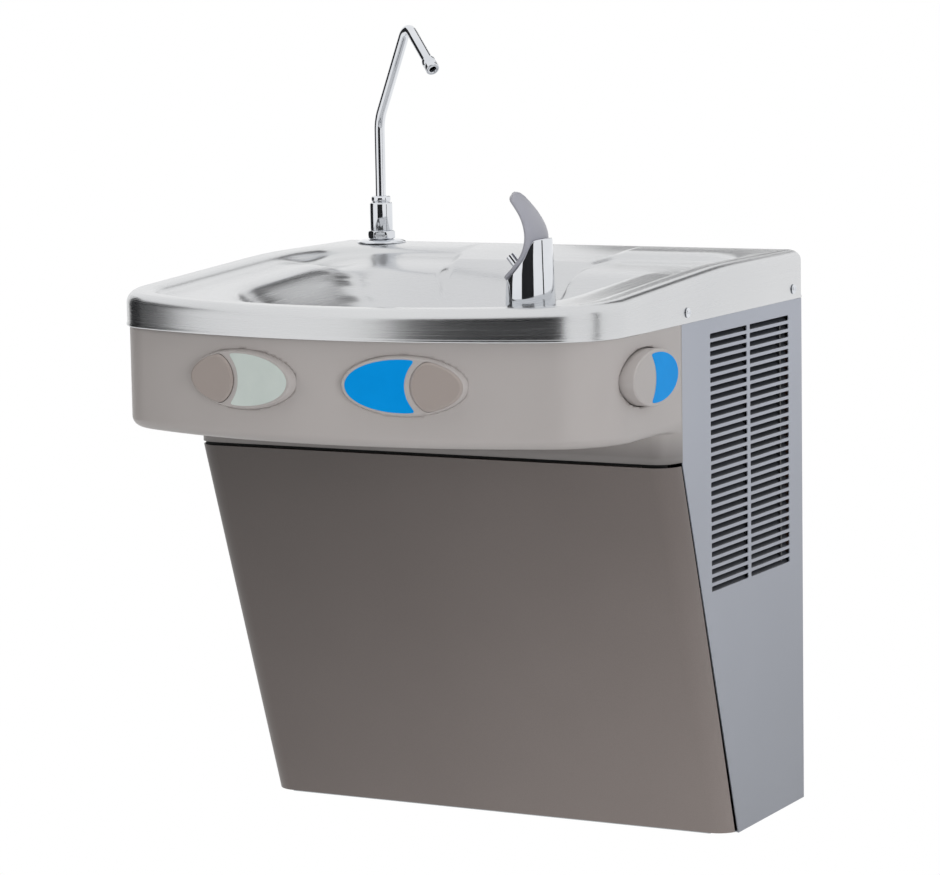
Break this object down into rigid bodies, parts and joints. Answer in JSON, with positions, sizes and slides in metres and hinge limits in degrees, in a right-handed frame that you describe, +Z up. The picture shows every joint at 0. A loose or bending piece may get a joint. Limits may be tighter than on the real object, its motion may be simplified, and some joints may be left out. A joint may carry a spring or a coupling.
{
  "type": "pressure water cooler",
  "caption": "Wall-hung pressure water cooler: drawn steel basin with bubbler and swivelling bottle filler, push-button apron, louvred cabinet and cooling set.",
  "frame": {"origin": "on the wall plane, centred in the width, level with the underside of the cabinet", "axes": "+Z up, +X to the right of a person who stands in front, +Y into the wall, so the front faces -Y"},
  "size_m": [0.4731, 0.4647, 0.6949],
  "materials": {
    "basin_steel": "fine brushed",
    "chrome": "polished",
    "apron": "fine satin moulding",
    "front_panel": "satin paint",
    "side_panel": "satin paint",
    "guard": "satin",
    "label_white": "smooth film",
    "label_blue": "smooth film",
    "zinc_steel": "zinc coated",
    "dark_plastic": "satin",
    "compressor_black": "black lacquer",
    "coil_black": "black lacquer",
    "copper": "drawn copper tube",
    "brass": "turned",
    "rubber": "matt",
    "foam": "foamed skin",
    "white_plastic": "satin",
    "pipe_plastic": "smooth",
    "tube_plastic": "smooth",
    "fan_metal": "pressed sheet",
    "stainless": "drawn sheet"
  },
  "bodies": {
    "cabinet": {"basin": "basin_steel", "drain_strainer": "chrome", "drain_body": "zinc_steel", "drain_gasket": "rubber", "drain_nut": "zinc_steel", "waste_elbow": "pipe_plastic", "bubbler_body": "chrome", "mouth_guard": "guard", "bubbler_nozzle": "chrome", "spout_flange": "chrome", "spout_nut": "chrome", "spout_body": "chrome", "deck_nuts": "zinc_steel", "apron": "apron", "left_bezel": "apron", "centre_bezel": "apron", "side_socket": "apron", "left_label": "label_white", "centre_label": "label_blue", "left_switch": "dark_plastic", "centre_switch": "dark_plastic", "side_switch": "dark_plastic", "front_panel": "front_panel", "left_side_panel": "side_panel", "right_side_panel": "side_panel", "skirt_screws": "chrome", "base_pan": "zinc_steel", "back_frame": "zinc_steel", "wall_bracket": "zinc_steel", "compressor": "compressor_black", "compressor_feet": "rubber", "terminal_cover": "dark_plastic", "condenser": "coil_black", "fan_shroud": "coil_black", "fan_motor": "zinc_steel", "filter_drier": "copper", "discharge_line": "copper", "capillary_line": "copper", "suction_line": "copper", "cooling_tank": "stainless", "evaporator_coil": "copper", "tank_insulation": "foam", "thermostat": "white_plastic", "water_filter": "white_plastic", "inlet_fitting": "brass", "natural_valve": "white_plastic", "cold_valve": "white_plastic", "bubbler_valve": "white_plastic", "valve_bracket": "zinc_steel", "water_tubes": "tube_plastic", "cord_gland": "dark_plastic"},
    "left_button_body": {"left_button": "apron"},
    "centre_button_body": {"centre_button": "apron"},
    "side_button_body": {"side_button": "apron", "side_label": "label_blue"},
    "spout_arm": {"spout_tube": "chrome", "spout_tip": "chrome"},
    "fan_rotor": {"fan_blade": "fan_metal"},
    "knob": {"thermostat_knob": "dark_plastic"},
    "jet_screw": {"jet_regulator": "brass"}
  },
  "joints": [
    {"name": "left_button_push", "type": "slide", "parent": "cabinet", "child": "left_button_body", "axis": [0.1491, 0.9888, 0], "range_m": [0, 0.003], "stiffness_N_per_m": 500, "springref_m": -0.004},
    {"name": "centre_button_push", "type": "slide", "parent": "cabinet", "child": "centre_button_body", "axis": [-0.1491, 0.9888, 0], "range_m": [0, 0.003], "stiffness_N_per_m": 500, "springref_m": -0.004},
    {"name": "side_button_push", "type": "slide", "parent": "cabinet", "child": "side_button_body", "axis": [-1, 0, 0], "range_m": [0, 0.003], "stiffness_N_per_m": 500, "springref_m": -0.004},
    {"name": "spout_swivel", "type": "hinge", "parent": "cabinet", "child": "spout_arm", "pos_m": [-0.178, -0.028, 0.53], "axis": [0, 0, 1], "range_deg": [-75, 40]},
    {"name": "fan_spin", "type": "hinge", "parent": "cabinet", "child": "fan_rotor", "pos_m": [0.16, -0.123, 0.328], "axis": [1, 0, 0], "continuous": true},
    {"name": "thermostat_turn", "type": "hinge", "parent": "cabinet", "child": "knob", "pos_m": [-0.058, -0.045, 0.332], "axis": [0, -1, 0], "range_deg": [-135, 135]},
    {"name": "jet_screw_turn", "type": "hinge", "parent": "cabinet", "child": "jet_screw", "pos_m": [-0.102, -0.04, 0.339], "axis": [0, -1, 0], "range_deg": [0, 270]}
  ]
}
